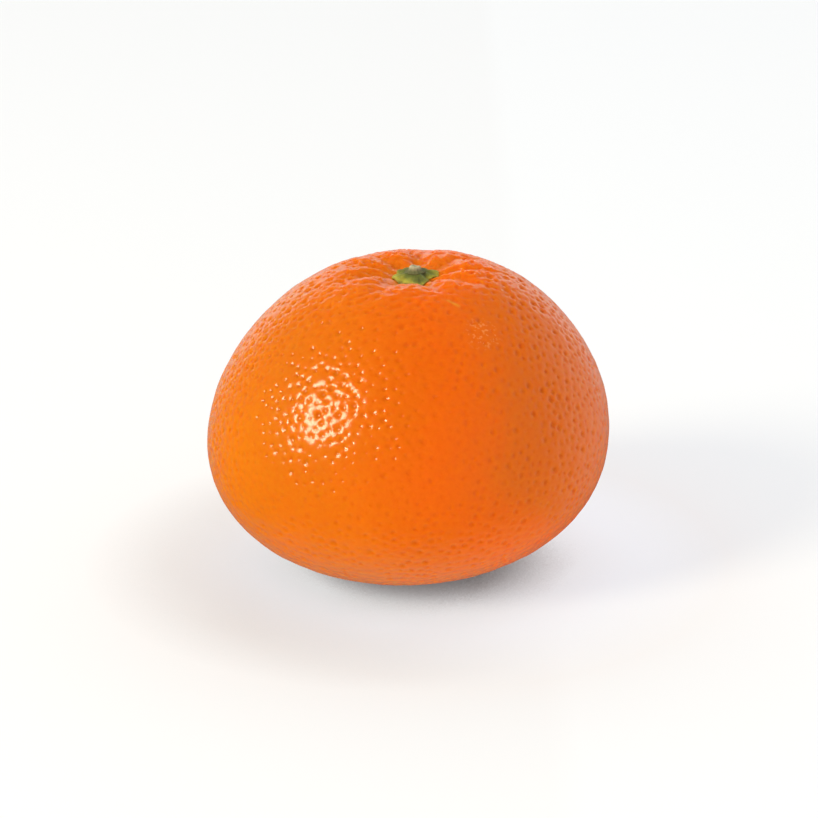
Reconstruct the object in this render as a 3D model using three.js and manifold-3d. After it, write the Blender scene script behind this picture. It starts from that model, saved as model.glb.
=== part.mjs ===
// A ripe mandarin standing on its blossom end: the fruit, the green calyx in its stem dimple and the dry
// stub of stem on the calyx. Millimetres, +Z up, origin on the surface that the fruit stands on.
import * as THREE from 'three';
import { ConvexHull } from 'three/addons/math/ConvexHull.js';
import { mergeVertices } from 'three/addons/utils/BufferGeometryUtils.js';
import Module from 'manifold-3d';

const wasm = await Module();
wasm.setup();

// Body of the fruit
const GIRTH_RADIUS = 30.9; // half the width at mid height
const DOME_HEIGHT = 50.5; // blossom end to shoulder, before the dimple and the flat spot
const EGG = -0.134; // below zero, the widest ring sits under mid height
const FULLNESS = 0.045; // above zero, shoulder and base are fuller than an ellipse
const LEAN = 0.052; // sideways shift for each millimetre of height
const WIDEST_HEIGHT = 22.2; // height of the widest ring, which the lean leaves in place
const FLAT_DEPTH = 0.7; // how far the blossom end is pressed in by the flat spot

// Stem dimple: a wide basin with a small pocket in it, and the flat seat of the calyx
const STEM_X = 0.9;
const BASIN_DEPTH = 3.1;
const BASIN_RADIUS = 7.7;
const POCKET_DEPTH = 0.9;
const POCKET_RADIUS = 5;
const LIP_DIP = 0.45; // how much lower the lip round the dimple is on its low side
const LIP_SIDE = THREE.MathUtils.degToRad(268); // direction of the low side
const LIP_PEAK = 5; // distance from the stem where the dip is deepest
const LIP_RADIUS = 4;
const SEAT_RADIUS = 2.4;
const SEAT_DEPTH = 0.1; // below the floor of the pocket

// Puckers: ridges of rind that run out from the calyx
const PUCKER_COUNT = 9;
const PUCKER_HEIGHT = 1;
const PUCKER_PEAK = 6.5; // distance from the stem where they stand highest
const PUCKER_ZONE = 11; // distance from the stem where they have faded
const PUCKER_START = THREE.MathUtils.degToRad(62); // direction of one of the ridges behind the stem
const PUCKER_SOFTNESS = 0.25; // above zero, rounds the valleys between the ridges
const PUCKER_MEAN = 0.69; // mean of a row of such ridges, so that they add no height overall

// Oil glands: pits all over the rind, drawn larger and farther apart than life
const GLAND_COUNT = 920;
const GLAND_RADIUS = [0.55, 0.78]; // smallest and largest pit
const GLAND_DEPTH = [0.42, 0.55]; // shallowest and deepest pit
const GLAND_SIDES = 5;
const GLAND_SCATTER = 0.75; // random shift from an even pattern
const GLAND_SEED = 20;
const SMOOTH_SPACING = 0.95; // between the points of the smooth, puckered rind round the stem

// Calyx: a foot in the seat, a hub, and one sepal for each direction, half width (both in degrees) and reach
const SEPALS = [
  { direction: 12, halfWidth: 36, reach: 3.8 },
  { direction: 60, halfWidth: 32, reach: 3.4 },
  { direction: 126, halfWidth: 40, reach: 3.6 },
  { direction: 221, halfWidth: 54, reach: 4 },
  { direction: 290, halfWidth: 40, reach: 3.6 },
];
const SEPAL_THICKNESS = 0.45;
const NOTCH_RADIUS = 2.5; // how far in the notches between sepals reach
const FOOT_RADIUS = 1.9;
const HUB_RADIUS = 1.35;
const HUB_HEIGHT = 1.05;
const CALYX_GAP = 0.3; // air between the sepals and the rind
const CALYX_SIDES = 60;

// Stub of stem
const STUB_RADIUS = 1.05;
const STUB_HEIGHT = 1.1;
const STUB_HOLLOW = 0.2; // depth of the shrunken pith in the broken end
const STUB_SIDES = 24;

const CROWN_HEIGHT = DOME_HEIGHT - FLAT_DEPTH;
const SEAT_HEIGHT = CROWN_HEIGHT - BASIN_DEPTH - POCKET_DEPTH - SEAT_DEPTH;
const HUB_TOP = SEAT_HEIGHT + HUB_HEIGHT;
const CROWN_RADIUS = GIRTH_RADIUS * (1 + EGG + FULLNESS);
const GOLDEN_TURN = Math.PI * (3 - Math.sqrt(5));

// Bell curve: 1 at the centre, about a third at the radius
const bell = (distance, radius) => Math.exp(-((distance / radius) ** 2));

// Small seeded generator of numbers from 0 to 1
function randomNumbers(seed) {
  let state = seed;
  return () => {
    state = (state + 0x6d2b79f5) | 0;
    let mixed = Math.imul(state ^ (state >>> 15), 1 | state);
    mixed = (mixed + Math.imul(mixed ^ (mixed >>> 7), 61 | mixed)) ^ mixed;
    return ((mixed ^ (mixed >>> 14)) >>> 0) / 2 ** 32;
  };
}

// How much the dimple and the puckers raise or lower the rind near the stem
function stemRelief(distance, angle) {
  const dimple = BASIN_DEPTH * bell(distance, BASIN_RADIUS) + POCKET_DEPTH * bell(distance, POCKET_RADIUS);
  const uneven = angle - PUCKER_START + 0.1 * Math.sin(2 * angle + 0.6);
  const ridge = Math.hypot(Math.cos(0.5 * PUCKER_COUNT * uneven), PUCKER_SOFTNESS) - PUCKER_MEAN;
  const strength = 1 + 0.3 * Math.cos(3 * angle + 1.6);
  const growth = (distance / PUCKER_PEAK) ** 2;
  const lowSide = LIP_DIP * Math.max(Math.cos(angle - LIP_SIDE), 0) * bell(distance - LIP_PEAK, LIP_RADIUS);
  return PUCKER_HEIGHT * strength * ridge * growth * Math.exp(1 - growth) - dimple - lowSide;
}

// Height of the rind above a point near the stem, where the crown is close to a bowl turned over
function rindHeight(distance, angle) {
  const drop = 0.25 * DOME_HEIGHT * (distance / CROWN_RADIUS) ** 2;
  return CROWN_HEIGHT - drop + stemRelief(distance, angle);
}

// The point of the rind, without glands, that a unit vector from the middle of the fruit points at
function rindPoint(direction) {
  const rise = direction.z; // 1 at the stem, -1 at the blossom end
  const radius = GIRTH_RADIUS * (1 + EGG * rise + FULLNESS * rise * rise);
  const height = 0.5 * DOME_HEIGHT * (1 + rise) - FLAT_DEPTH;
  const lean = LEAN * (height - WIDEST_HEIGHT);
  const point = new THREE.Vector3(radius * direction.x + lean, radius * direction.y, height);
  if (rise > 0) {
    point.z += stemRelief(Math.hypot(point.x - STEM_X, point.y), Math.atan2(point.y, point.x - STEM_X));
  }
  return point;
}

// Distance from the stem of a point on the upper half of the fruit
function fromStem(point) {
  return point.z > WIDEST_HEIGHT ? Math.hypot(point.x - STEM_X, point.y) : Infinity;
}

// An indexed geometry with only positions, its shared vertices merged and collapsed faces dropped
function welded(geometry) {
  const bare = new THREE.BufferGeometry().setAttribute('position', geometry.getAttribute('position').clone());
  bare.setIndex(geometry.index);
  const merged = mergeVertices(bare, 1e-4);
  const kept = [];
  for (let i = 0; i < merged.index.count; i += 3) {
    const [a, b, c] = [0, 1, 2].map((k) => merged.index.getX(i + k));
    if (a !== b && b !== c && c !== a) kept.push(a, b, c);
  }
  return merged.setIndex(kept);
}

function solid(geometry) {
  const { index, attributes } = welded(geometry);
  return new wasm.Manifold(
    new wasm.Mesh({
      numProp: 3,
      vertProperties: new Float32Array(attributes.position.array),
      triVerts: new Uint32Array(index.array),
    }),
  );
}

function geometryOf(manifold) {
  const { vertProperties, triVerts } = manifold.getMesh();
  const geometry = new THREE.BufferGeometry();
  geometry.setAttribute('position', new THREE.BufferAttribute(vertProperties, 3));
  geometry.setIndex(new THREE.BufferAttribute(triVerts, 1));
  geometry.computeVertexNormals();
  return geometry;
}

function part(name, geometry, color, roughness) {
  const mesh = new THREE.Mesh(geometry, new THREE.MeshStandardMaterial({ color, roughness, metalness: 0 }));
  mesh.name = name;
  return mesh;
}

// Corners of the rind round the stem: an even spiral of points with no pits, as fine as the puckers need
function stemCorners() {
  const count = Math.round((PUCKER_ZONE / SMOOTH_SPACING) ** 2 * Math.PI);
  const crownLean = LEAN * (CROWN_HEIGHT - WIDEST_HEIGHT);
  return Array.from({ length: count }, (_, i) => {
    const distance = PUCKER_ZONE * Math.sqrt((i + 0.5) / count);
    const x = (STEM_X - crownLean + distance * Math.cos(i * GOLDEN_TURN)) / CROWN_RADIUS;
    const y = (distance * Math.sin(i * GOLDEN_TURN)) / CROWN_RADIUS;
    return { direction: new THREE.Vector3(x, y, Math.sqrt(1 - x * x - y * y)), depth: 0 };
  });
}

// Corners of the rest of the rind: for each gland the bottom of its pit and the rim round it. The pits become
// shallow near the puckers and near the flat spot.
function glandCorners() {
  const random = randomNumbers(GLAND_SEED);
  const between = ([low, high]) => THREE.MathUtils.lerp(low, high, random());
  const shift = () => (between([-1, 1]) * GLAND_SCATTER) / GIRTH_RADIUS;
  const corners = [];
  for (let i = 0; i < GLAND_COUNT; i++) {
    const rise = 1 - (2 * i + 1) / GLAND_COUNT;
    const level = Math.sqrt(1 - rise * rise);
    const pit = new THREE.Vector3(level * Math.cos(i * GOLDEN_TURN), level * Math.sin(i * GOLDEN_TURN), rise);
    pit.add(new THREE.Vector3(shift(), shift(), shift())).normalize();
    const point = rindPoint(pit);
    if (fromStem(point) < PUCKER_ZONE) continue;
    const clearOfStem = THREE.MathUtils.smoothstep(fromStem(point), PUCKER_ZONE - 2, PUCKER_ZONE + 2);
    const clearOfBase = THREE.MathUtils.smoothstep(point.z, FLAT_DEPTH, 3 * FLAT_DEPTH);
    corners.push({ direction: pit, depth: between(GLAND_DEPTH) * clearOfStem * clearOfBase });

    const across = new THREE.Vector3(0, 0, 1).cross(pit).normalize();
    const along = pit.clone().cross(across);
    const radius = between(GLAND_RADIUS) / GIRTH_RADIUS;
    const start = random();
    for (let side = 0; side < GLAND_SIDES; side++) {
      const angle = (2 * Math.PI * (side + start)) / GLAND_SIDES;
      const rim = pit.clone().addScaledVector(across, radius * Math.cos(angle));
      rim.addScaledVector(along, radius * Math.sin(angle)).normalize();
      if (fromStem(rindPoint(rim)) > PUCKER_ZONE) corners.push({ direction: rim, depth: 0 });
    }
  }
  return corners;
}

// The fruit: pitted rind and all that it holds, in one solid, with a flat spot below and a seat in the dimple
function makeFruit() {
  const corners = [...stemCorners(), ...glandCorners()];
  const order = new Map(corners.map(({ direction }, i) => [direction, i]));
  // The hull of directions on a sphere joins each one to its nearest neighbours
  const hull = new ConvexHull().setFromPoints([...order.keys()]);
  const triangles = hull.faces.flatMap(({ edge }) =>
    [edge, edge.next, edge.next.next].map((side) => order.get(side.head().point)),
  );
  const middle = new THREE.Vector3(0, 0, WIDEST_HEIGHT);
  const positions = corners.flatMap(({ direction, depth }) => {
    const point = rindPoint(direction);
    const inward = middle.clone().sub(point).normalize();
    return point.addScaledVector(inward, depth).toArray();
  });
  const rind = new THREE.BufferGeometry();
  rind.setAttribute('position', new THREE.Float32BufferAttribute(positions, 3));
  rind.setIndex(triangles);

  const belowGround = new THREE.BoxGeometry(DOME_HEIGHT, DOME_HEIGHT, DOME_HEIGHT);
  belowGround.translate(0, 0, -0.5 * DOME_HEIGHT);
  const aboveSeat = new THREE.CylinderGeometry(SEAT_RADIUS, SEAT_RADIUS, DOME_HEIGHT, CALYX_SIDES);
  aboveSeat.rotateX(0.5 * Math.PI).translate(STEM_X, 0, SEAT_HEIGHT + 0.5 * DOME_HEIGHT);
  return geometryOf(solid(rind).subtract(solid(belowGround)).subtract(solid(aboveSeat)));
}

// A closed body round the stem axis whose section, a list of [radius, height] from the axis below to the
// axis above, may change with the angle
function turnedRoundStem(section, sides) {
  const template = section(0).map(([radius, height]) => new THREE.Vector2(radius, height));
  const geometry = new THREE.LatheGeometry(template, sides);
  const places = geometry.getAttribute('position');
  for (let i = 0; i < places.count; i++) {
    const side = Math.floor(i / template.length) % sides;
    const angle = (2 * Math.PI * side) / sides;
    const [radius, height] = section(angle)[i % template.length];
    places.setXYZ(i, STEM_X + radius * Math.cos(angle), radius * Math.sin(angle), height);
  }
  return geometryOf(solid(geometry));
}

// Distance from the stem axis to the edge of the calyx
function calyxReach(angle) {
  return SEPALS.reduce((farthest, { direction, halfWidth, reach }) => {
    const turn = angle - THREE.MathUtils.degToRad(direction);
    const away = THREE.MathUtils.radToDeg(Math.abs(Math.atan2(Math.sin(turn), Math.cos(turn))));
    const share = Math.min(away / halfWidth, 1);
    return Math.max(farthest, NOTCH_RADIUS + (reach - NOTCH_RADIUS) * Math.cos(0.5 * Math.PI * share) ** 0.8);
  }, NOTCH_RADIUS);
}

function calyxSection(angle) {
  const reach = calyxReach(angle);
  const throat = 0.5 * (FOOT_RADIUS + SEAT_RADIUS);
  const edge = rindHeight(reach, angle) + CALYX_GAP;
  const halfway = 0.5 * (HUB_RADIUS + reach);
  return [
    [0, SEAT_HEIGHT],
    [FOOT_RADIUS, SEAT_HEIGHT],
    [throat, rindHeight(SEAT_RADIUS, angle) + CALYX_GAP],
    [reach - 0.25 * SEPAL_THICKNESS, edge],
    [reach, edge + 0.4 * SEPAL_THICKNESS],
    [reach - 0.5 * SEPAL_THICKNESS, edge + SEPAL_THICKNESS],
    [halfway, 0.5 * (edge + SEPAL_THICKNESS + HUB_TOP) + 0.3 * SEPAL_THICKNESS],
    [HUB_RADIUS, HUB_TOP],
    [0, HUB_TOP],
  ];
}

// The stub: a waisted peg of dry stem with a hollow where the pith has shrunk
function stubSection(angle) {
  const outOfRound = 1 + 0.06 * Math.cos(3 * angle + 0.4) + 0.04 * Math.cos(5 * angle);
  const top = HUB_TOP + STUB_HEIGHT;
  return [
    [0, HUB_TOP],
    [STUB_RADIUS * outOfRound, HUB_TOP],
    [0.9 * STUB_RADIUS * outOfRound, HUB_TOP + 0.4 * STUB_HEIGHT],
    [STUB_RADIUS * outOfRound, top - 0.2 * STUB_HEIGHT],
    [0.75 * STUB_RADIUS * outOfRound, top],
    [0.35 * STUB_RADIUS, top - STUB_HOLLOW],
    [0, top - STUB_HOLLOW],
  ];
}

const mandarin = new THREE.Group();
mandarin.add(
  part('fruit', makeFruit(), 0xf07818, 0.35),
  part('calyx', turnedRoundStem(calyxSection, CALYX_SIDES), 0x7d8a2c, 0.6),
  part('stem_stub', turnedRoundStem(stubSection, STUB_SIDES), 0xa9a07a, 0.85),
);

export default mandarin;
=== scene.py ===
from math import cos, pi, radians, sin

import bmesh
import bpy
import numpy as np
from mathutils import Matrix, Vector, noise
from mathutils.geometry import delaunay_2d_cdt
from mathutils.kdtree import KDTree


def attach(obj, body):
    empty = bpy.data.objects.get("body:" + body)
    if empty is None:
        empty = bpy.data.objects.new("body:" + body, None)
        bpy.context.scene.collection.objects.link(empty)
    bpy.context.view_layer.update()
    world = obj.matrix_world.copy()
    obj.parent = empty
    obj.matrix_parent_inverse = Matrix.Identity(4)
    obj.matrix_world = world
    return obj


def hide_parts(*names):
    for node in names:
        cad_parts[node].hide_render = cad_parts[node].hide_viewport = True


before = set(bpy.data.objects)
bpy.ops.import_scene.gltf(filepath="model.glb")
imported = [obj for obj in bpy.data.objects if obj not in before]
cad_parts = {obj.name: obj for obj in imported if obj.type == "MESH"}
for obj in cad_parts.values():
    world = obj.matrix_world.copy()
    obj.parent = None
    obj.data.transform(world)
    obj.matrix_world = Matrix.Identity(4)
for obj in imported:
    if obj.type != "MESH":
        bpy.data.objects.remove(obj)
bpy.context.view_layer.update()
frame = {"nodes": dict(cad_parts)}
scene = bpy.context.scene
mm = 0.001  # the dictionaries give lengths in millimetres and angles in degrees
print("frame loaded:", ", ".join(frame["nodes"]))


def linear(hexColour):
    srgb = [int(hexColour[i:i + 2], 16) / 255 for i in (1, 3, 5)]
    return [c / 12.92 if c <= 0.04045 else ((c + 0.055) / 1.055) ** 2.4 for c in srgb] + [1.0]


def add(tree, kind, inputs=None, stops=(), **settings):
    node = tree.nodes.new(kind)
    for name, value in settings.items():
        setattr(node, name, value)
    for name, value in (inputs or {}).items():  # a socket is linked, anything else is the socket's value
        if isinstance(value, bpy.types.NodeSocket):
            tree.links.new(value, node.inputs[name])
        else:
            node.inputs[name].default_value = value
    for position, colour in stops[1:-1]:  # a colour ramp starts with two stops
        node.color_ramp.elements.new(position)
    for i, (position, colour) in enumerate(stops):
        node.color_ramp.elements[i].position = position
        node.color_ramp.elements[i].color = linear(colour)
    return node


def newMaterial(name):
    material = bpy.data.materials.new(name)
    material.use_nodes = True
    material.node_tree.nodes.clear()
    return material, material.node_tree


def newPiece(name, mesh, material):
    mesh.name = name
    mesh.materials.clear()
    mesh.materials.append(material)
    mesh.shade_smooth()
    piece = bpy.data.objects.new(name, mesh)
    scene.collection.objects.link(piece)
    return piece


# camera: in front of the fruit and a little above it, with a long lens
view = {
    "elevation": 20.0, "distance": 500.0, "lookAt": (0.0, 0.0, 22.0), "aimAbove": 2.69, "aimRight": 0.05,
    "lens": 141.5, "sensor": 36.0, "nearest": 10.0,
}

tilt = radians(view["elevation"])
lookAt = Vector(view["lookAt"]) * mm
cameraUp = Vector((0, sin(tilt), cos(tilt)))
cameraData = bpy.data.cameras.new("camera")
cameraData.sensor_width = view["sensor"]
cameraData.lens = view["lens"]
cameraData.clip_start = view["nearest"] * mm
camera = bpy.data.objects.new("camera", cameraData)
camera.location = lookAt + Vector((0, -cos(tilt), sin(tilt))) * view["distance"] * mm
aim = lookAt + cameraUp * view["aimAbove"] * mm + Vector((view["aimRight"] * mm, 0, 0))
camera.rotation_euler = (aim - camera.location).to_track_quat("-Z", "Y").to_euler()
scene.collection.objects.link(camera)
scene.camera = camera
print("camera:", view["elevation"], "degrees up,", view["lens"], "mm lens")


# body of the fruit
body = {
    "girthRadius": 30.9, "domeHeight": 50.5, "egg": -0.134, "fullness": 0.045,
    "lean": 0.052, "widestHeight": 22.2, "flatDepth": 0.7, "crownCurve": 0.0163,  # fall of the crown, per square mm
    "stemX": 0.9, "basinDepth": 3.1, "basinRadius": 7.7, "pocketDepth": 0.9, "pocketRadius": 5.0,
    "lipDip": 0.45, "lipSide": 268, "lipPeak": 5.0, "lipRadius": 4.0,
    "puckers": 9, "puckerHeight": 1.0, "puckerPeak": 6.5, "puckerStart": 62, "puckerSoftness": 0.25,
    "puckerMean": 0.69, "puckerDrift": 0.1, "puckerVaries": 0.3,
    "wrinkles": 23, "wrinkleHeight": 0.16, "wrinklePeak": 8.5,
    "wrinkleMean": 0.64, "wrinkleTwist": 0.05, "wrinkleDrift": 0.2,
    "lumpSize": 7.0, "lumpHeight": 0.09, "pebbleSize": 1.7, "pebbleHeight": 0.05,
    "crestSize": 1.5, "crestHeight": 0.26, "crestPeak": 7.5, "crestTop": 0.4, "crestDrop": 2.4,
}


# rise or fall of the rind round the stem: dimple, puckers, finer wrinkles and the lower lip in front
def stemRelief(distance, angle):
    dimple = body["basinDepth"] * np.exp(-(distance / body["basinRadius"]) ** 2)
    dimple += body["pocketDepth"] * np.exp(-(distance / body["pocketRadius"]) ** 2)
    uneven = angle - radians(body["puckerStart"]) + body["puckerDrift"] * np.sin(2 * angle + 0.6)
    ridge = np.hypot(np.cos(0.5 * body["puckers"] * uneven), body["puckerSoftness"]) - body["puckerMean"]
    strength = 1 + body["puckerVaries"] * np.cos(3 * angle + 1.6)
    near = (distance / body["puckerPeak"]) ** 2
    pucker = body["puckerHeight"] * strength * ridge * near * np.exp(1 - near)
    swirl = angle + body["wrinkleTwist"] * distance + body["wrinkleDrift"] * np.sin(3 * angle + 0.4 * distance)
    crease = np.abs(np.cos(0.5 * body["wrinkles"] * swirl)) - body["wrinkleMean"]
    far = (distance / body["wrinklePeak"]) ** 2
    wrinkle = body["wrinkleHeight"] * crease * far * np.exp(1 - far)
    lowSide = body["lipDip"] * np.maximum(np.cos(angle - radians(body["lipSide"])), 0)
    lowSide = lowSide * np.exp(-((distance - body["lipPeak"]) / body["lipRadius"]) ** 2)
    return pucker + wrinkle - dimple - lowSide


# height of the rind close to the stem
def crownHeight(distance, angle):
    crown = body["domeHeight"] - body["flatDepth"] - body["crownCurve"] * distance ** 2
    return crown + stemRelief(distance, angle)


# unit directions from the middle of the fruit to points of the smooth rind
def rindSurface(direction):
    rise = direction[:, 2]
    radius = body["girthRadius"] * (1 + body["egg"] * rise + body["fullness"] * rise ** 2)
    height = 0.5 * body["domeHeight"] * (1 + rise) - body["flatDepth"]
    x = radius * direction[:, 0] + body["lean"] * (height - body["widestHeight"])
    y = radius * direction[:, 1]
    fromStem = np.hypot(x - body["stemX"], y)
    relief = stemRelief(fromStem, np.arctan2(y, x - body["stemX"]))
    return np.stack([x, y, np.where(rise > 0, height + relief, height)], axis=1)


# and back again
def rindDirection(point):
    x, y, z = point.T
    fromStem = np.hypot(x - body["stemX"], y)
    relief = stemRelief(fromStem, np.arctan2(y, x - body["stemX"]))
    height = np.where(z > body["widestHeight"], z - relief, z)
    rise = np.clip(2 * (height + body["flatDepth"]) / body["domeHeight"] - 1, -0.9999, 0.9999)
    flat = np.stack([x - body["lean"] * (height - body["widestHeight"]), y], axis=1)
    flat *= (np.sqrt(1 - rise ** 2) / np.maximum(np.linalg.norm(flat, axis=1), 1e-9))[:, None]
    return np.column_stack([flat, rise])


# oil glands: the pits in the rind
glands = {
    "spacing": 1.24, "densest": 4.0,  # per square millimetre
    "smallest": 0.36, "largest": 0.7,  # radius of a pit
    "shallowest": 0.18, "deepest": 0.53, "fewDeep": 1.4,  # share of the radius; above 1, only a few are deep
    "seed": 7, "depthSeed": 5, "turnSeed": 3, "clearOfStem": 3.4, "clearOfBase": 0.15,
    "deeperAbove": 0.15, "widerAbove": 0.22, "shallowerBelow": 0.05,  # coarser towards the stem, finer below
}

bm = bmesh.new()
bmesh.ops.create_icosphere(bm, subdivisions=6, radius=1)
smoothMesh = bpy.data.meshes.new("smoothRind")
bm.to_mesh(smoothMesh)
bm.free()
directions = np.empty(len(smoothMesh.vertices) * 3)
smoothMesh.vertices.foreach_get("co", directions)
directions = directions.reshape(-1, 3)
smooth = rindSurface(directions / np.linalg.norm(directions, axis=1)[:, None])
awayFromStem = np.hypot(smooth[:, 0] - body["stemX"], smooth[:, 1]) > glands["clearOfStem"]
zone = awayFromStem | (smooth[:, 2] < body["widestHeight"])
zone &= smooth[:, 2] > glands["clearOfBase"]
smoothMesh.vertices.foreach_set("co", (smooth * mm).ravel())
smoothMesh.attributes.new("glandZone", "FLOAT", "POINT").data.foreach_set("value", zone.astype(float))
smoothMesh.update()

# one pit: its middle, a ring halfway out and the rim, one unit from the middle
ringSides, rimSides = 6, 12
ringTurns = [2 * pi * i / ringSides for i in range(ringSides)]
rimTurns = [2 * pi * (i + 0.5) / rimSides for i in range(rimSides)]
pitCorners = [(0, 0, 0)]
pitCorners += [(0.5 * cos(turn), 0.5 * sin(turn), 0) for turn in ringTurns]
pitCorners += [(cos(turn), sin(turn), 0) for turn in rimTurns]
pitFaces = []
for i in range(ringSides):
    here, following = 1 + i, 1 + (i + 1) % ringSides
    rim = [1 + ringSides + (2 * i + k) % rimSides for k in range(3)]
    pitFaces += [(0, here, following), (here, rim[0], rim[1])]
    pitFaces += [(here, rim[1], following), (following, rim[1], rim[2])]
pitMesh = bpy.data.meshes.new("pit")
pitMesh.from_pydata(pitCorners, [], pitFaces)
pitShape = bpy.data.objects.new("pit", pitMesh)

# pits strewn over the rind, each with its own size, depth and turn
glandTree = bpy.data.node_groups.new("oilGlands", "GeometryNodeTree")
sockets = {}
for name, kind in (("Geometry", "Geometry"), ("Spacing", "Float"), ("Smallest", "Float"), ("Largest", "Float"),
                   ("Shallowest", "Float"), ("Deepest", "Float"), ("Seed", "Int"), ("Pit", "Object"),
                   ("Material", "Material")):
    socket = glandTree.interface.new_socket(name, in_out="INPUT", socket_type="NodeSocket" + kind)
    sockets[name] = socket.identifier
glandTree.interface.new_socket("Geometry", in_out="OUTPUT", socket_type="NodeSocketGeometry")
given = add(glandTree, "NodeGroupInput").outputs
inZone = add(glandTree, "GeometryNodeInputNamedAttribute", {"Name": "glandZone"}, data_type="FLOAT")
places = add(glandTree, "GeometryNodeDistributePointsOnFaces",
             {"Mesh": given["Geometry"], "Distance Min": given["Spacing"], "Density Max": glands["densest"] / mm ** 2,
              "Density Factor": inZone.outputs[0], "Seed": given["Seed"]}, distribute_method="POISSON")
size = add(glandTree, "FunctionNodeRandomValue",
           {2: given["Smallest"], 3: given["Largest"], "Seed": given["Seed"]}, data_type="FLOAT")
chance = add(glandTree, "FunctionNodeRandomValue", {2: 0.0, 3: 1.0, "Seed": glands["depthSeed"]}, data_type="FLOAT")
fewDeep = add(glandTree, "ShaderNodeMath", {0: chance.outputs[1], 1: glands["fewDeep"]}, operation="POWER")
sink = add(glandTree, "ShaderNodeMapRange",
           {"Value": fewDeep.outputs[0], "To Min": given["Shallowest"], "To Max": given["Deepest"]})
turn = add(glandTree, "FunctionNodeRandomValue", {2: 0.0, 3: 2 * pi, "Seed": glands["turnSeed"]}, data_type="FLOAT")
spin = add(glandTree, "FunctionNodeAxisAngleToRotation", {"Axis": (0, 0, 1), "Angle": turn.outputs[1]})
facing = add(glandTree, "FunctionNodeRotateRotation",
             {"Rotation": places.outputs["Rotation"], "Rotate By": spin.outputs[0]}, rotation_space="LOCAL")
pitInfo = add(glandTree, "GeometryNodeObjectInfo", {"Object": given["Pit"]})
pits = add(glandTree, "GeometryNodeInstanceOnPoints",
           {"Points": places.outputs["Points"], "Instance": pitInfo.outputs["Geometry"],
            "Rotation": facing.outputs[0], "Scale": size.outputs[1]})
for name, value in (("glandSize", size.outputs[1]), ("glandDepth", sink.outputs[0])):
    pits = add(glandTree, "GeometryNodeStoreNamedAttribute",
               {"Geometry": pits.outputs[0], "Name": name, "Value": value}, data_type="FLOAT", domain="INSTANCE")
real = add(glandTree, "GeometryNodeRealizeInstances", {"Geometry": pits.outputs[0]})
dressed = add(glandTree, "GeometryNodeSetMaterial", {"Geometry": real.outputs[0], "Material": given["Material"]})
add(glandTree, "NodeGroupOutput", {"Geometry": dressed.outputs[0]})

# waxy citrus rind: saturated orange, sharp glints on a wax film, light that sinks in a little; its colour holds
# painted light, yellower on the lamp side, and painted shade in the deeper pits
rindLook = {
    # partly painted light: the ramp runs from yellow on the lamp side to red on the side away from it
    "ripenessAndLitSide": ((0.04, "#D2740A"), (0.2, "#CF6F0A"), (0.36, "#DA6E08"), (0.46, "#DC6A06"),
                 (0.62, "#E36706"), (0.72, "#E26808"), (0.82, "#DA6A0B")),  # from the yellow side to the red side
    "litSideSpan": 60.0, "blotchSize": 14.0, "blotchRange": 0.06,
    "footHeight": 2.0, "footTone": -0.15, "sideHeight": 22.0, "sideTone": 0.03, "footTurns": 12.0,
    "dimpleHeight": 47.0, "dimpleFrom": 4.0, "dimpleTo": 11.0, "dimpleShare": 0.8, "dimpleColour": "#D9720E",
    # painted shade in the deeper pits, darker towards the right:
    "pitDarkFrom": 4.0, "pitDarkTo": 20.0, "pitShare": 0.12, "pitShadeColour": "#CC4802",
    "grainSize": 0.5, "grainShare": 0.14, "grainColour": "#D04E04", "grainBump": 0.12, "grainHeight": 0.1,
    "glossiest": 0.15, "dullest": 0.22, "ior": 1.5, "sheen": 0.2, "sheenRoughness": 0.35, "sheenTint": "#FFA07A",
    "sinksIn": 0.85, "sinkColours": (1.0, 0.55, 0.2), "sinkDepth": 2.0,
}

rindMaterial, tree = newMaterial("waxyCitrusRind")
place = add(tree, "ShaderNodeTexCoord").outputs["Object"]
axes = add(tree, "ShaderNodeSeparateXYZ", {0: place}).outputs
blotch = add(tree, "ShaderNodeTexNoise",
             {"Vector": place, "Scale": 1 / (rindLook["blotchSize"] * mm), "Detail": 3.0, "Roughness": 0.55})
blotches = add(tree, "ShaderNodeMapRange",
               {"Value": blotch.outputs["Fac"], "From Min": 0.3, "From Max": 0.7,
                "To Min": -rindLook["blotchRange"], "To Max": rindLook["blotchRange"]})
# painted light: yellow towards the lamp on the left, red to the right, and a shift at the foot that evens out its
# shading; the blotches are the rind's own
leftToRight = add(tree, "ShaderNodeMath",
                  {0: axes["X"], 1: 1 / (rindLook["litSideSpan"] * mm), 2: 0.5}, operation="MULTIPLY_ADD")
upwards = add(tree, "ShaderNodeMapRange",
              {"Value": axes["Z"], "From Min": rindLook["footHeight"] * mm, "From Max": rindLook["sideHeight"] * mm,
               "To Min": rindLook["footTone"], "To Max": rindLook["sideTone"]})
rightMore = add(tree, "ShaderNodeMath",
                {0: axes["X"], 1: 1 / (rindLook["footTurns"] * mm), 2: 1.0}, operation="MULTIPLY_ADD")
ripeAndLit = add(tree, "ShaderNodeMath",
           {0: upwards.outputs[0], 1: rightMore.outputs[0], 2: leftToRight.outputs[0]}, operation="MULTIPLY_ADD")
ripeAndLit = add(tree, "ShaderNodeMath", {0: ripeAndLit.outputs[0], 1: blotches.outputs[0]}, operation="ADD")
ripeAndLitColour = add(tree, "ShaderNodeValToRGB", {"Fac": ripeAndLit.outputs[0]}, rindLook["ripenessAndLitSide"])  # more even at the foot
toStem = add(tree, "ShaderNodeVectorMath",
             {0: place, 1: (body["stemX"] * mm, 0, rindLook["dimpleHeight"] * mm)}, operation="DISTANCE")
inDimple = add(tree, "ShaderNodeMapRange",
               {"Value": toStem.outputs["Value"], "From Min": rindLook["dimpleFrom"] * mm,
                "From Max": rindLook["dimpleTo"] * mm, "To Min": rindLook["dimpleShare"], "To Max": 0.0})
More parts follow.
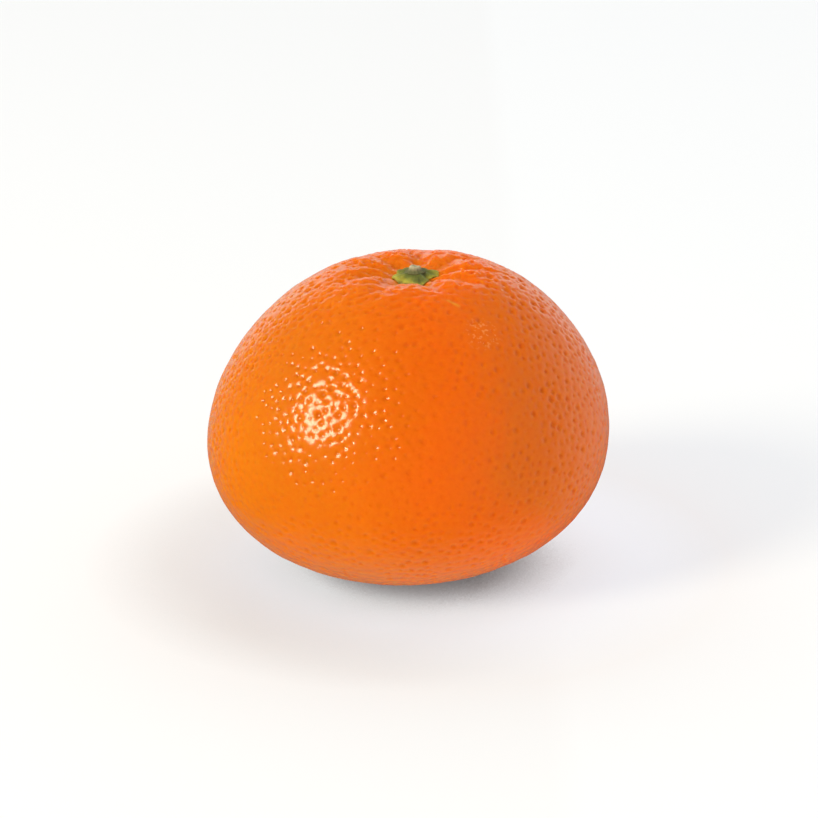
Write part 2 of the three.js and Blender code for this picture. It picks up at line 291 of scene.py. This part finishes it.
# painted shade: deeper pits are darkened, more so towards the right, away from the lamp
pitDeep = add(tree, "ShaderNodeAttribute", attribute_name="pitDepth")
pitShadeOnRight = add(tree, "ShaderNodeMapRange",
              {"Value": axes["X"], "From Min": rindLook["pitDarkFrom"] * mm, "From Max": rindLook["pitDarkTo"] * mm,
               "To Min": 0.0, "To Max": rindLook["pitShare"]})
pitShade = add(tree, "ShaderNodeMapRange",
            {"Value": pitDeep.outputs["Fac"], "From Min": 0.25, "From Max": 0.9, "To Max": pitShadeOnRight.outputs[0]})
grain = add(tree, "ShaderNodeTexNoise",
            {"Vector": place, "Scale": 1 / (rindLook["grainSize"] * mm), "Detail": 2.0})
inGrain = add(tree, "ShaderNodeMapRange",  # oil cells seen through the skin
              {"Value": grain.outputs["Fac"], "From Min": 0.4, "From Max": 0.65, "To Max": rindLook["grainShare"]})

# rub marks: a patch of pale specks and a short yellow scratch, both near the stem
rubbed = {
    "patch": (11.0, -17.0, 42.8), "patchSize": 3.4, "speckSize": 0.55, "speckShare": 0.36, "speckColour": "#F4B66A",
    "scratchFrom": (5.9, -12.7, 46.6), "scratchTo": (7.4, -13.5, 46.0), "scratchWidth": 0.5,
    "scratchShare": 0.5, "scratchColour": "#D8A030",
}
toPatch = add(tree, "ShaderNodeVectorMath", {0: place, 1: Vector(rubbed["patch"]) * mm}, operation="DISTANCE")
inPatch = add(tree, "ShaderNodeMapRange",
              {"Value": toPatch.outputs["Value"], "From Min": 0.5 * rubbed["patchSize"] * mm,
               "From Max": rubbed["patchSize"] * mm, "To Min": 1.0, "To Max": 0.0})
specks = add(tree, "ShaderNodeTexNoise",
             {"Vector": place, "Scale": 1 / (rubbed["speckSize"] * mm), "Detail": 1.0})
speckled = add(tree, "ShaderNodeMapRange",
               {"Value": specks.outputs["Fac"], "From Min": 0.54, "From Max": 0.7, "To Max": rubbed["speckShare"]})
inSpeck = add(tree, "ShaderNodeMath", {0: speckled.outputs[0], 1: inPatch.outputs[0]}, operation="MULTIPLY")
scratchStart = Vector(rubbed["scratchFrom"]) * mm
scratchRun = Vector(rubbed["scratchTo"]) * mm - scratchStart
fromStart = add(tree, "ShaderNodeVectorMath", {0: place, 1: scratchStart}, operation="SUBTRACT")
alongScratch = add(tree, "ShaderNodeVectorMath", {0: fromStart.outputs[0], 1: scratchRun}, operation="DOT_PRODUCT")
clamped = add(tree, "ShaderNodeMapRange",
              {"Value": alongScratch.outputs["Value"], "From Max": scratchRun.length_squared})
nearest = add(tree, "ShaderNodeVectorMath", {0: scratchRun, "Scale": clamped.outputs[0]}, operation="SCALE")
toScratch = add(tree, "ShaderNodeVectorMath", {0: fromStart.outputs[0], 1: nearest.outputs[0]}, operation="DISTANCE")
inScratch = add(tree, "ShaderNodeMapRange",
                {"Value": toScratch.outputs["Value"], "From Max": rubbed["scratchWidth"] * mm,
                 "To Min": rubbed["scratchShare"], "To Max": 0.0})

# each of these lies over the ones before it
skinColour = ripeAndLitColour.outputs["Color"]
for share, colour in ((inDimple, rindLook["dimpleColour"]), (pitShade, rindLook["pitShadeColour"]),
                      (inGrain, rindLook["grainColour"]), (inSpeck, rubbed["speckColour"]),
                      (inScratch, rubbed["scratchColour"])):
    mixed = add(tree, "ShaderNodeMix",
                {"Factor": share.outputs[0], 6: skinColour, 7: linear(colour)}, data_type="RGBA")
    skinColour = mixed.outputs[2]
roughness = add(tree, "ShaderNodeMapRange",
                {"Value": blotch.outputs["Fac"], "To Min": rindLook["glossiest"], "To Max": rindLook["dullest"]})
bump = add(tree, "ShaderNodeBump",
           {"Strength": rindLook["grainBump"], "Distance": rindLook["grainHeight"] * mm,
            "Height": grain.outputs["Fac"]})
skin = add(tree, "ShaderNodeBsdfPrincipled",
           {"Base Color": skinColour, "Roughness": roughness.outputs[0], "IOR": rindLook["ior"],
            "Normal": bump.outputs[0], "Sheen Weight": rindLook["sheen"],
            "Sheen Roughness": rindLook["sheenRoughness"], "Sheen Tint": linear(rindLook["sheenTint"]),
            "Subsurface Weight": rindLook["sinksIn"], "Subsurface Radius": rindLook["sinkColours"],
            "Subsurface Scale": rindLook["sinkDepth"] * mm})
add(tree, "ShaderNodeOutputMaterial", {"Surface": skin.outputs[0]})

# run the gland tree and keep where each pit is, how wide and how deep
smoothRind = newPiece("smoothRind", smoothMesh, rindMaterial)
scene.collection.objects.link(pitShape)
modifier = smoothRind.modifiers.new("oilGlands", "NODES")
modifier.node_group = glandTree
for name, value in (("Spacing", glands["spacing"] * mm), ("Smallest", glands["smallest"] * mm),
                    ("Largest", glands["largest"] * mm), ("Shallowest", glands["shallowest"]),
                    ("Deepest", glands["deepest"]), ("Seed", glands["seed"]),
                    ("Pit", pitShape), ("Material", rindMaterial)):
    modifier[sockets[name]] = value
pitsMesh = bpy.data.meshes.new_from_object(smoothRind.evaluated_get(bpy.context.evaluated_depsgraph_get()))
for helper in (smoothRind, pitShape):
    bpy.data.objects.remove(helper)
pitPoints = np.empty(len(pitsMesh.vertices) * 3)
pitsMesh.vertices.foreach_get("co", pitPoints)
pitPoints = pitPoints.reshape(-1, 3) / mm
glandSize, glandDepth = np.empty(len(pitPoints)), np.empty(len(pitPoints))
pitsMesh.attributes["glandSize"].data.foreach_get("value", glandSize)
pitsMesh.attributes["glandDepth"].data.foreach_get("value", glandDepth)
glandMiddle = pitPoints[::len(pitCorners)]
glandSize = glandSize[::len(pitCorners)] / mm
glandDepth = glandDepth[::len(pitCorners)] * glandSize
above = np.clip(glandMiddle[:, 2] / body["widestHeight"] - 1, -1, 1)
glandDepth *= 1 + np.where(above > 0, glands["deeperAbove"], glands["shallowerBelow"]) * above
glandReach = glandSize * (1 + glands["widerAbove"] * np.maximum(above, 0))
print("oil glands:", len(glandMiddle))

# smooth rind where there are no pits: under the calyx, and rings across the flat spot
bare = {"stemPoints": 420, "baseRings": 14, "ringPoints": 96, "lastRise": -0.9995}
number = np.arange(bare["stemPoints"])
spiral = number * (pi * (3 - 5 ** 0.5))  # turns by the golden angle
outwards = glands["clearOfStem"] * np.sqrt((number + 0.5) / bare["stemPoints"])
stemSpot = np.column_stack([body["stemX"] + outwards * np.cos(spiral), outwards * np.sin(spiral),
                            crownHeight(outwards, spiral % (2 * pi))])
flatRise = 2 * body["flatDepth"] / body["domeHeight"] - 1
rings = []
for ring, ringRise in enumerate(np.linspace(flatRise, bare["lastRise"], bare["baseRings"])):
    turnBy = (np.arange(bare["ringPoints"]) + 0.5 * (ring % 2)) * 2 * pi / bare["ringPoints"]
    level = (1 - ringRise ** 2) ** 0.5
    rings.append(np.column_stack([level * np.cos(turnBy), level * np.sin(turnBy), np.full(len(turnBy), ringRise)]))
direction = np.concatenate([rindDirection(pitPoints), rindDirection(stemSpot), *rings, [[0, 0, -1]]])

# knit the pits together: spread the fruit flat from its base and join each point to its nearest neighbours
spread = direction[:-1, :2] / (1 + direction[:-1, 2:])
triangles = delaunay_2d_cdt([Vector(p) for p in spread.tolist()], [], [], 0, 1e-9, True)
faces = [[triangles[3][i][0] for i in face] for face in triangles[2]]
base = len(direction) - 1
lastRing = [base - bare["ringPoints"] + i for i in range(bare["ringPoints"])]
faces += [(base, lastRing[(i + 1) % len(lastRing)], corner) for i, corner in enumerate(lastRing)]

# normals of the smooth rind, from two small steps along it
step = 1e-4
sideways = np.cross(direction, (0.31, 0.17, 0.93))  # any axis that no point lies on
sideways /= np.linalg.norm(sideways, axis=1)[:, None]
along = np.cross(direction, sideways)
spot = rindSurface(direction)
normal = np.cross(rindSurface(direction + step * sideways) - spot, rindSurface(direction + step * along) - spot)
normal /= np.linalg.norm(normal, axis=1)[:, None]

# low lumps all over, and round the stem thin crests with broad hollows between them
lumps = body["lumpHeight"] * np.array([noise.noise(Vector(p) / body["lumpSize"]) for p in spot.tolist()])
lumps += body["pebbleHeight"] * np.array([noise.noise(Vector(p) / body["pebbleSize"]) for p in spot.tolist()])
nearStem = np.hypot(spot[:, 0] - body["stemX"], spot[:, 1]) / body["crestPeak"]
nearStem = np.where(spot[:, 2] > body["widestHeight"], nearStem * np.exp(1 - nearStem), 0) ** 3
crumple = np.array([abs(noise.noise(Vector(p) / body["crestSize"])) for p in spot.tolist()])
lumps += body["crestHeight"] * nearStem * (body["crestTop"] - body["crestDrop"] * crumple)

# every point goes in by the deepest pit that reaches it, and in or out by the lumps
nearGlands = KDTree(len(glandMiddle))
for i, middle in enumerate(glandMiddle.tolist()):
    nearGlands.insert(middle, i)
nearGlands.balance()
widestPit = glands["largest"] * (1 + glands["widerAbove"])
pitDepth = np.zeros(len(spot))
for i, point in enumerate(spot.tolist()):
    for middle, gland, distance in nearGlands.find_range(point, widestPit):
        bowl = max(0, 1 - (distance / glandReach[gland]) ** 2) ** 2
        pitDepth[i] = max(pitDepth[i], glandDepth[gland] * bowl)
spot += normal * (lumps - pitDepth)[:, None]
spot[:, 2] = np.maximum(spot[:, 2], 0)

rindMesh = bpy.data.meshes.new("rind")
rindMesh.from_pydata((spot * mm).tolist(), [], faces)
pitShare = pitDepth / (glands["largest"] * glands["deepest"])
rindMesh.attributes.new("pitDepth", "FLOAT", "POINT").data.foreach_set("value", pitShare)
rind = newPiece("rind", rindMesh, rindMaterial)
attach(rind, "root")
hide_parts("fruit")
print("rind:", len(rindMesh.polygons), "triangles")


# calyx and stub turned round the stem, with a section and a shade that change with the angle
def turnedRoundStem(name, section, sides):
    rows = len(section(0.0)[0])
    corners, shades = [], []
    for side in range(sides):
        angle = 2 * pi * side / sides
        profile, shade = section(angle)
        corners += [(body["stemX"] + r * cos(angle), r * sin(angle), z) for r, z in profile]
        shades += shade
    quads = []
    for side in range(sides):
        a, b = side * rows, (side + 1) % sides * rows
        quads += [(a + k, b + k, b + k + 1, a + k + 1) for k in range(rows - 1)]
    bottom, top = range(0, sides * rows, rows), range(rows - 1, sides * rows, rows)
    quads += [tuple(reversed(bottom)), tuple(top)]
    mesh = bpy.data.meshes.new(name)
    mesh.from_pydata([(x * mm, y * mm, z * mm) for x, y, z in corners], [], quads)
    mesh.attributes.new("shade", "FLOAT", "POINT").data.foreach_set("value", shades)
    return mesh


# fleshy sepals that start to dry: dark green round the stem, yellow-green outwards, olive brown at the oldest edge;
# the lobe facing the lamp is painted palest, as painted light
calyx = {
    "sepals": ((12, 36, 3.8, 0.36), (60, 32, 3.4, 0.24), (126, 40, 3.6, 0.3), (221, 54, 4.0, 0.5),
               (290, 40, 3.6, 0.26)),  # direction, half width, reach, and tone from 0.1 dark green to 0.5 yellow-green, from age and from painted light
    "notch": 2.4, "notchAge": 0.5, "tipRoundness": 0.8, "ragged": 0.07,
    "hubRadius": 1.3, "hubHeight": 1.55, "hubAge": 0.08, "topRadius": 0.3,
    "sunk": 0.1, "foot": 1.9, "underside": 2.0, "clearOfRind": 0.02,
    "rim": 0.12, "rimInset": 0.06, "rimBelow": 0.04, "rimAbove": 0.05, "edge": 0.14, "edgeAge": 0.1, "edgeNarrow": 6,
    "slope": 1.4, "bulge": 0.2, "bulgeOutwards": 0.7, "fullLobe": 1.4, "greensInwards": 1.3,
    "wrinkle": 0.05, "wrinklesPerMm": 1.6, "sides": 180, "rows": 12,
    "ageAndLightTones": ((0.1, "#4F5824"), (0.3, "#747A2A"), (0.5, "#B4AC34"), (0.64, "#82742C"), (0.9, "#5E4A24")),
    "mottleSize": 1.2, "mottleRange": 0.1, "fibreSize": 0.35, "fibreHeight": 0.15, "fibreBump": 0.3,
    "roughness": 0.5, "ior": 1.42, "sinksIn": 0.1, "sinkColours": (0.5, 0.8, 0.1), "sinkDepth": 0.5,
}
seatHeight = body["domeHeight"] - body["flatDepth"] - body["basinDepth"] - body["pocketDepth"] - calyx["sunk"]


# how far the calyx reaches at an angle, and its tone there, from age and from painted light
def sepalAt(angle):
    furthest, weights = calyx["notch"], 0.01
    agesAndLight = weights * calyx["notchAge"]
    for direction, halfWidth, reach, ageAndLight in calyx["sepals"]:
        off = abs((angle - radians(direction) + pi) % (2 * pi) - pi) / radians(halfWidth)
        here = (reach - calyx["notch"]) * cos(0.5 * pi * min(off, 1)) ** calyx["tipRoundness"]
        furthest = max(furthest, calyx["notch"] + here)
        weights, agesAndLight = weights + here ** 3, agesAndLight + here ** 3 * ageAndLight
    return furthest, agesAndLight / weights


def calyxSection(angle):
    reach, ageAndLight = sepalAt(angle)
    reach += calyx["ragged"] * noise.noise(Vector((3 * cos(angle), 3 * sin(angle), 0)))
    edge = float(crownHeight(reach, angle))
    underside = float(crownHeight(calyx["notch"], angle)) + calyx["clearOfRind"]
    hubTop = seatHeight + calyx["hubHeight"]
    lobe = (reach - calyx["notch"]) / calyx["fullLobe"]
    profile = [(calyx["foot"], seatHeight), (calyx["underside"], underside),
               (reach - calyx["rim"], edge - calyx["rimBelow"]), (reach, edge + calyx["rimAbove"])]
    shade = [ageAndLight] * len(profile)
    outer = reach - calyx["rimInset"]
    for row in range(calyx["rows"]):
        share = row / (calyx["rows"] - 1)  # 0 at the edge, 1 at the hub
        radius = outer - (outer - calyx["hubRadius"]) * share
        rise = edge + calyx["edge"] + (hubTop - edge - calyx["edge"]) * share ** calyx["slope"]
        rough = noise.noise(Vector((radius * cos(angle), radius * sin(angle), 3.0)) * calyx["wrinklesPerMm"])
        rise += calyx["bulge"] * lobe * sin(pi * share ** calyx["bulgeOutwards"]) + calyx["wrinkle"] * rough
        profile.append((radius, rise))
        inwards = (calyx["hubAge"] - ageAndLight) * share ** calyx["greensInwards"]
        shade.append(ageAndLight + inwards + calyx["edgeAge"] * (1 - share) ** calyx["edgeNarrow"])
    profile.append((calyx["topRadius"], hubTop))
    shade.append(0.0)
    return profile, shade


calyxMaterial, tree = newMaterial("freshSepal")
place = add(tree, "ShaderNodeTexCoord").outputs["Object"]
mottle = add(tree, "ShaderNodeTexNoise",
             {"Vector": place, "Scale": 1 / (calyx["mottleSize"] * mm), "Detail": 4.0, "Roughness": 0.6})
mottled = add(tree, "ShaderNodeMapRange",
              {"Value": mottle.outputs["Fac"], "From Min": 0.3, "From Max": 0.7,
               "To Min": -calyx["mottleRange"], "To Max": calyx["mottleRange"]})
# painted light: the tone holds both the sepals' age and a paler lobe towards the lamp
sepalAgeAndLight = add(tree, "ShaderNodeAttribute", attribute_name="shade")
spotAgeAndLight = add(tree, "ShaderNodeMath", {0: sepalAgeAndLight.outputs["Fac"], 1: mottled.outputs[0]}, operation="ADD")
sepalColour = add(tree, "ShaderNodeValToRGB", {"Fac": spotAgeAndLight.outputs[0]}, calyx["ageAndLightTones"])
fibre = add(tree, "ShaderNodeTexNoise", {"Vector": place, "Scale": 1 / (calyx["fibreSize"] * mm), "Detail": 3.0})
bump = add(tree, "ShaderNodeBump",
           {"Strength": calyx["fibreBump"], "Distance": calyx["fibreHeight"] * mm, "Height": fibre.outputs["Fac"]})
leaf = add(tree, "ShaderNodeBsdfPrincipled",
           {"Base Color": sepalColour.outputs["Color"], "Roughness": calyx["roughness"], "IOR": calyx["ior"],
            "Normal": bump.outputs[0], "Subsurface Weight": calyx["sinksIn"],
            "Subsurface Radius": calyx["sinkColours"], "Subsurface Scale": calyx["sinkDepth"] * mm})
add(tree, "ShaderNodeOutputMaterial", {"Surface": leaf.outputs[0]})

calyxPiece = newPiece("calyxStar", turnedRoundStem("calyxStar", calyxSection, calyx["sides"]), calyxMaterial)
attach(calyxPiece, "root")
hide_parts("calyx")
print("calyx:", len(calyxPiece.data.polygons), "faces")


# dry stem: dark green bark with fine ribs, pale fibrous wood where it broke
stub = {
    "radius": 0.9, "waist": 0.96, "widens": 0.05, "flare": 1.65, "flareCurve": 4, "height": 0.85, "sunk": 0.1,
    "threeSided": 0.05, "fiveSided": 0.03, "ribs": 11, "ribHeight": 0.02, "slant": 0.07, "ragged": 0.05, "sides": 96,
    "bark": ((0, 0), (0.1, 0), (0.2, 0), (0.32, 0.05), (0.45, 0.25), (0.58, 0.6)),  # share of the height, bare wood
    "broken": ((0.98, 0.27, 0.9), (0.93, 0.15, 1), (0.84, 0.06, 1), (0.7, 0.0, 1), (0.54, 0.03, 0.8),
               (0.4, 0.12, 0.4), (0.25, 0.2, 0.1), (0.1, 0.23, 0.1)),  # share of the radius, depth, bare wood
    "barkColours": ("#3E4420", "#7C7B48"), "woodColours": ("#8C8462", "#CDC6A2"),
    "speckSize": 0.4, "speckHeight": 0.1, "speckBump": 0.4, "roughness": 0.8,
}


def stubSection(angle):
    uneven = 1 + stub["threeSided"] * cos(3 * angle + 0.4) + stub["fiveSided"] * cos(5 * angle)
    uneven += stub["ribHeight"] * cos(stub["ribs"] * angle)
    foot = seatHeight + calyx["hubHeight"] - stub["sunk"]
    top = foot + stub["sunk"] + stub["height"] + stub["slant"] * cos(angle + 2) + stub["ragged"] * cos(3 * angle)
    profile, shade = [], []
    for share, wood in stub["bark"]:
        radius = stub["radius"] * (stub["waist"] + stub["widens"] * share)
        radius += (stub["flare"] - stub["radius"]) * (1 - share) ** stub["flareCurve"]
        profile.append((radius * uneven, foot + (top - foot) * share))
        shade.append(wood)
    for share, depth, wood in stub["broken"]:
        profile.append((stub["radius"] * share * uneven, top - depth))
        shade.append(wood)
    return profile, shade


stubMaterial, tree = newMaterial("dryStem")
place = add(tree, "ShaderNodeTexCoord").outputs["Object"]
cut = add(tree, "ShaderNodeAttribute", attribute_name="shade")
speck = add(tree, "ShaderNodeTexNoise",
            {"Vector": place, "Scale": 1 / (stub["speckSize"] * mm), "Detail": 4.0, "Roughness": 0.65})
tones = []
for dark, pale in (stub["barkColours"], stub["woodColours"]):
    tone = add(tree, "ShaderNodeMix",
               {"Factor": speck.outputs["Fac"], 6: linear(dark), 7: linear(pale)}, data_type="RGBA")
    tones.append(tone.outputs[2])
stemColour = add(tree, "ShaderNodeMix", {"Factor": cut.outputs["Fac"], 6: tones[0], 7: tones[1]}, data_type="RGBA")
bump = add(tree, "ShaderNodeBump",
           {"Strength": stub["speckBump"], "Distance": stub["speckHeight"] * mm, "Height": speck.outputs["Fac"]})
stem = add(tree, "ShaderNodeBsdfPrincipled",
           {"Base Color": stemColour.outputs[2], "Roughness": stub["roughness"], "Normal": bump.outputs[0]})
add(tree, "ShaderNodeOutputMaterial", {"Surface": stem.outputs[0]})

stubPiece = newPiece("stemStub", turnedRoundStem("stemStub", stubSection, stub["sides"]), stubMaterial)
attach(stubPiece, "root")
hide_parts("stem_stub")
print("stub:", len(stubPiece.data.polygons), "faces")

# white paper on a light table: lit a little from below, dark under the fruit, its shade leaning away from the lamp
paperFloor = {
    "halfWidth": 1500.0, "shadeReach": 25.0, "leansOver": 24.0, "leanLeft": 0.12, "leanRight": -0.17,
    "paper": ((0.1, "#6C767E"), (1.0, "#C4C6C8")),  # greyer close to the fruit, so that less orange shows on it
    "roughness": 0.9, "specular": 0.2,
    "fromBelow": ((0.04, "#505254"), (0.18, "#C0CACE"), (0.5, "#B7C0C7"), (0.86, "#909090")),
    "lightSeen": 1.0, "lightGiven": 2.5,
}

floorMaterial, tree = newMaterial("whitePaper")
openSky = add(tree, "ShaderNodeAmbientOcclusion", {"Distance": paperFloor["shadeReach"] * mm}, samples=8)
paperAt = add(tree, "ShaderNodeSeparateXYZ", {0: add(tree, "ShaderNodeTexCoord").outputs["Object"]}).outputs
toTheRight = add(tree, "ShaderNodeMapRange",
                 {"Value": paperAt["X"], "From Min": -paperFloor["leansOver"] * mm,
                  "From Max": paperFloor["leansOver"] * mm,
                  "To Min": paperFloor["leanLeft"], "To Max": paperFloor["leanRight"]})
shade = add(tree, "ShaderNodeMath", {0: openSky.outputs["AO"], 1: toTheRight.outputs[0]}, operation="ADD")
paperColour = add(tree, "ShaderNodeValToRGB", {"Fac": openSky.outputs["AO"]}, paperFloor["paper"])
fromBelow = add(tree, "ShaderNodeValToRGB", {"Fac": shade.outputs[0]}, paperFloor["fromBelow"])
ray = add(tree, "ShaderNodeLightPath")
tableLight = add(tree, "ShaderNodeMapRange",
                 {"Value": ray.outputs["Is Diffuse Ray"],
                  "To Min": paperFloor["lightSeen"], "To Max": paperFloor["lightGiven"]})
paper = add(tree, "ShaderNodeBsdfPrincipled",
            {"Base Color": paperColour.outputs["Color"], "Roughness": paperFloor["roughness"],
             "Specular IOR Level": paperFloor["specular"], "Emission Color": fromBelow.outputs["Color"],
             "Emission Strength": tableLight.outputs[0]})
add(tree, "ShaderNodeOutputMaterial", {"Surface": paper.outputs[0]})
half = paperFloor["halfWidth"] * mm
floorMesh = bpy.data.meshes.new("floor")
floorMesh.from_pydata([(-half, -half, 0), (half, -half, 0), (half, half, 0), (-half, half, 0)], [], [(0, 1, 2, 3)])
floor = newPiece("floor", floorMesh, floorMaterial)
floor.visible_glossy = False  # keeps the paper out of the reflections
print("floor:", floorMaterial.name)

# studio: one lamp on the left in a white room, of which the wax mirrors two cards, a wall, the backdrop and the floor
studio = {
    "lampElevation": 30.0, "lampLeft": 56.0, "lampDistance": 1200.0, "lampWidth": 400.0, "lampPower": 8.4,
    "lampColour": "#FFF3D4", "screenLeft": 62.0, "screenWidth": 500.0, "screenPower": 10.6,
    "roomLow": 0.88, "roomHigh": 0.74, "roomBack": 1.2, "roomLeft": 0.06, "roomRight": -0.05,
    "cardLeft": 0.21, "cardLeftAt": (-0.45, 0.88, -0.1), "cardLeftEdge": 0.8,  # brightness, direction, edge
    "cardRight": 0.44, "cardRightAt": (0.82, 0.57, 0.0), "cardRightEdge": 0.7,
    "wallRight": 0.22, "wallRightEdge": 0.3,
    "floorGlint": 0.32, "floorGlintAt": (0.0, 0.2, -0.98), "floorGlintEdge": 0.6,
    "backdropGlint": 0.75, "backdropFoot": 0.2, "backdropRise": (-0.35, 0.05), "backdropEdge": (0.79, 0.94),
}

up = radians(studio["lampElevation"])
for name in ("lamp", "screen"):  # the bare lamp gives the light, its wide screen is what the wax mirrors
    left = radians(studio[name + "Left"])
    towardsLamp = Vector((-sin(left) * cos(up), -cos(left) * cos(up), sin(up)))
    lampData = bpy.data.lights.new(name, "AREA")
    lampData.shape = "DISK"
    lampData.size = studio[name + "Width"] * mm
    lampData.energy = studio[name + "Power"]
    lampData.color = linear(studio["lampColour"])[:3]
    lamp = bpy.data.objects.new(name, lampData)
    lamp.location = lookAt + towardsLamp * studio["lampDistance"] * mm
    lamp.rotation_euler = towardsLamp.to_track_quat("Z", "Y").to_euler()
    lamp.visible_diffuse = name == "lamp"
    lamp.visible_glossy = name == "screen"
    scene.collection.objects.link(lamp)

room = bpy.data.worlds.new("room")
room.use_nodes = True
tree = room.node_tree
tree.nodes.clear()
ray = add(tree, "ShaderNodeLightPath")
towards = add(tree, "ShaderNodeTexCoord").outputs["Generated"]
axes = add(tree, "ShaderNodeSeparateXYZ", {0: towards}).outputs
cards = {}
for name in ("cardLeft", "cardRight", "floorGlint"):
    facing = add(tree, "ShaderNodeVectorMath", {0: towards, 1: studio[name + "At"]}, operation="DOT_PRODUCT")
    cards[name] = add(tree, "ShaderNodeMapRange",
                      {"Value": facing.outputs["Value"], "From Min": studio[name + "Edge"], "To Max": studio[name]})
wallRight = add(tree, "ShaderNodeMapRange",
                {"Value": axes["X"], "From Min": studio["wallRightEdge"], "To Max": studio["wallRight"]})
raised = add(tree, "ShaderNodeMapRange",
             {"Value": axes["Z"], "From Min": studio["backdropRise"][0], "From Max": studio["backdropRise"][1],
              "To Min": studio["backdropFoot"] * studio["backdropGlint"], "To Max": studio["backdropGlint"]})
backdrop = add(tree, "ShaderNodeMapRange",
               {"Value": axes["Y"], "From Min": studio["backdropEdge"][0], "From Max": studio["backdropEdge"][1],
                "To Max": raised.outputs[0]})
glint = cards["cardLeft"]
for more in (cards["cardRight"], wallRight, backdrop, cards["floorGlint"]):
    glint = add(tree, "ShaderNodeMath", {0: glint.outputs[0], 1: more.outputs[0]}, operation="ADD")
walls = add(tree, "ShaderNodeMapRange",
            {"Value": axes["Z"], "To Min": studio["roomLow"], "To Max": studio["roomHigh"]})
behind = add(tree, "ShaderNodeMapRange", {"Value": axes["Y"], "To Max": studio["roomBack"]})
sides = add(tree, "ShaderNodeMapRange",
            {"Value": axes["X"], "From Min": -1.0, "To Min": studio["roomLeft"], "To Max": studio["roomRight"]})
for more in (behind, sides):
    walls = add(tree, "ShaderNodeMath", {0: walls.outputs[0], 1: more.outputs[0]}, operation="ADD")
glow = add(tree, "ShaderNodeMapRange",
           {"Value": ray.outputs["Is Glossy Ray"], "To Min": walls.outputs[0], "To Max": glint.outputs[0]})
sky = add(tree, "ShaderNodeBackground", {"Color": (1, 1, 1, 1), "Strength": glow.outputs[0]})
add(tree, "ShaderNodeOutputWorld", {"Surface": sky.outputs[0]})
scene.world = room
scene.view_settings.view_transform = "Standard"
print("studio: lamp, screen and room")
